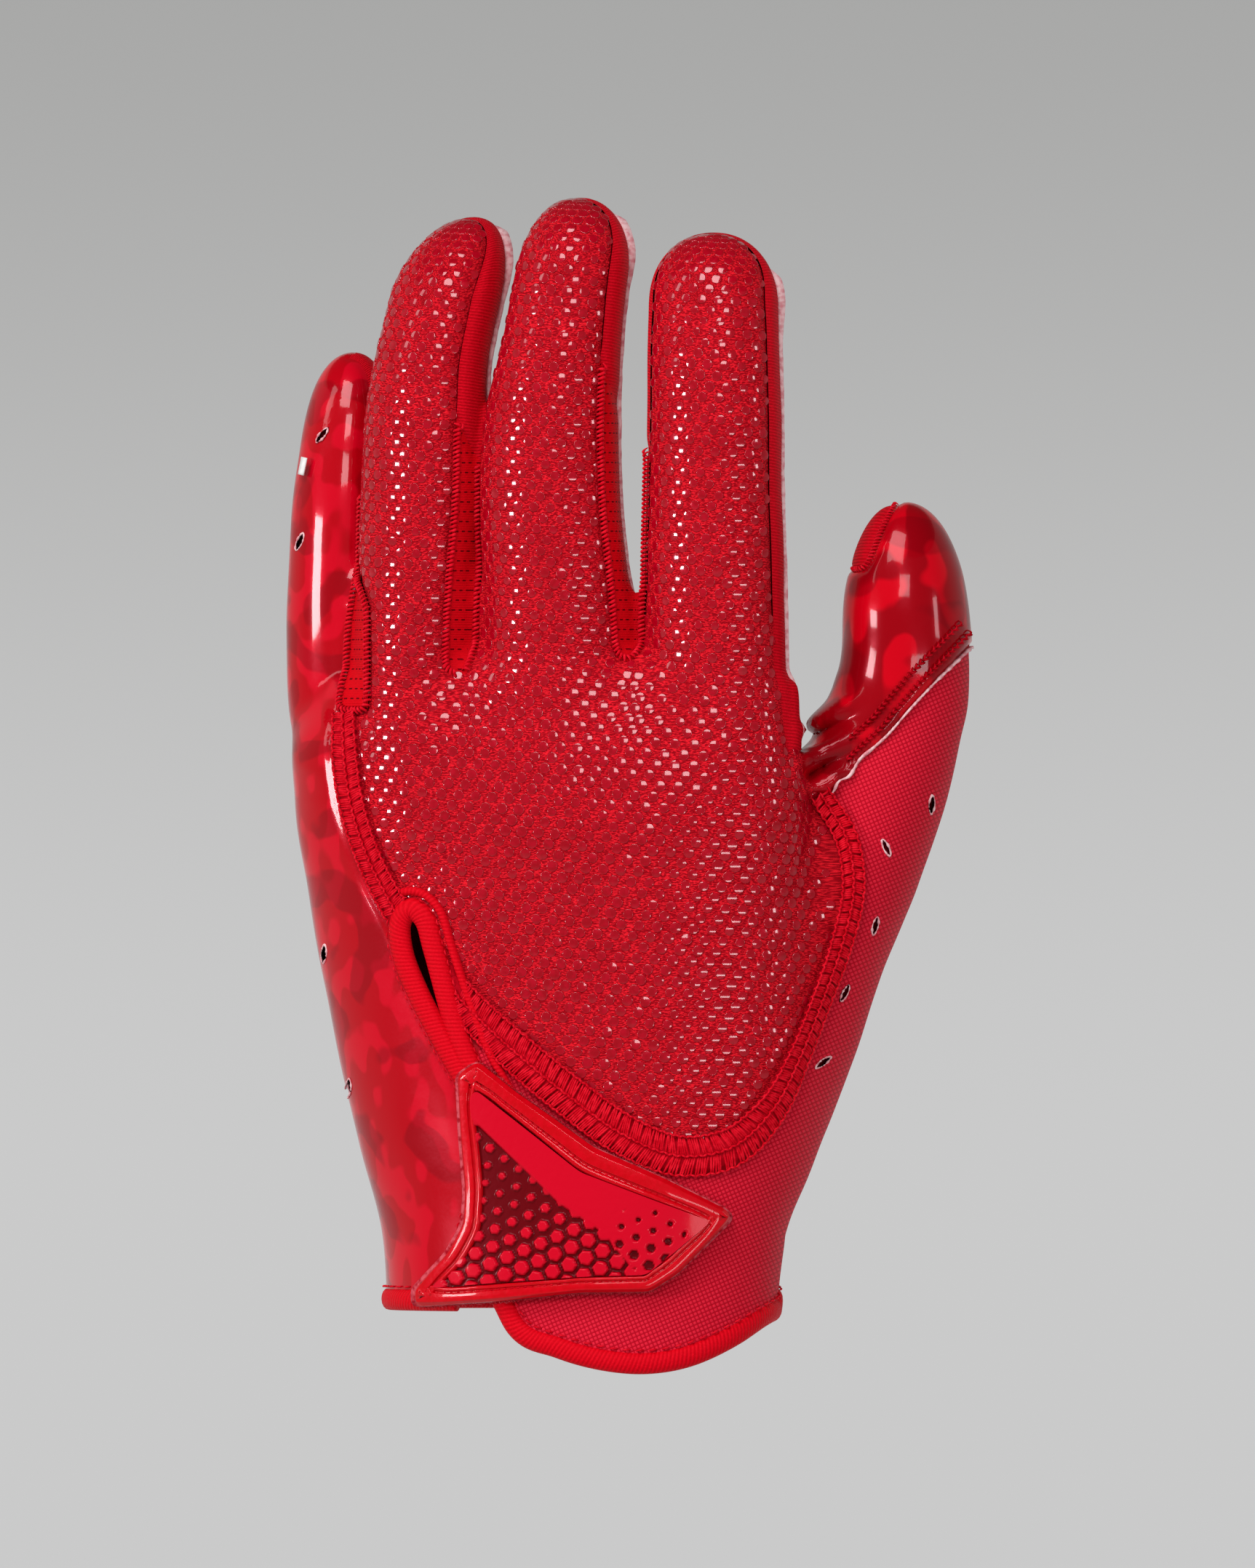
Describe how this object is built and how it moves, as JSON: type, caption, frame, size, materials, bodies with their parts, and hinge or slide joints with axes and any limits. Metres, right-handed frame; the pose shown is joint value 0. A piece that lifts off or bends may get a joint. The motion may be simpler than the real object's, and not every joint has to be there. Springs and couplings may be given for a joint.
{
  "type": "football receiver glove",
  "caption": "Left-hand football receiver glove with a tacky glossy palm, knitted back, stitched seams, vents, and a tab closure at the wrist, shaped as worn.",
  "frame": {"origin": "middle of the wrist opening, on the level where the cuff's rear edge ends", "axes": "+Z from the wrist to the fingertips, +X to the thumb's side, -Y out of the back of the hand"},
  "size_m": [0.1321, 0.0569, 0.2272],
  "materials": {
    "grip": "clear silicone over printed red cloth, glossy",
    "knit": "dark red knitted mesh with raised glossy dots",
    "rib": "fine ribbed knit",
    "gusset": "perforated stretch knit",
    "woven": "fine grid weave",
    "thread": "dense overlocked thread",
    "binding": "rolled binding tape",
    "moulded": "moulded glossy rim",
    "inlay": "satin moulded relief",
    "hook": "hook and loop pad with pale fuzz at its edge"
  },
  "bodies": {
    "root": {"palm": "grip", "thumb_wrap": "grip", "back_panel": "knit", "side_index": "rib", "side_middle": "rib", "side_ring": "rib", "side_little": "rib", "gusset_little_ring": "gusset", "gusset_ring_middle": "gusset", "gusset_middle_index": "gusset", "stitch_band": "thread", "stitch_band_side": "thread", "thumb_panel": "woven", "hem_binding": "binding", "keyhole_binding": "binding", "tab_backing": "hook", "tab_rim": "moulded", "tab_inlay": "inlay"}
  },
  "joints": []
}
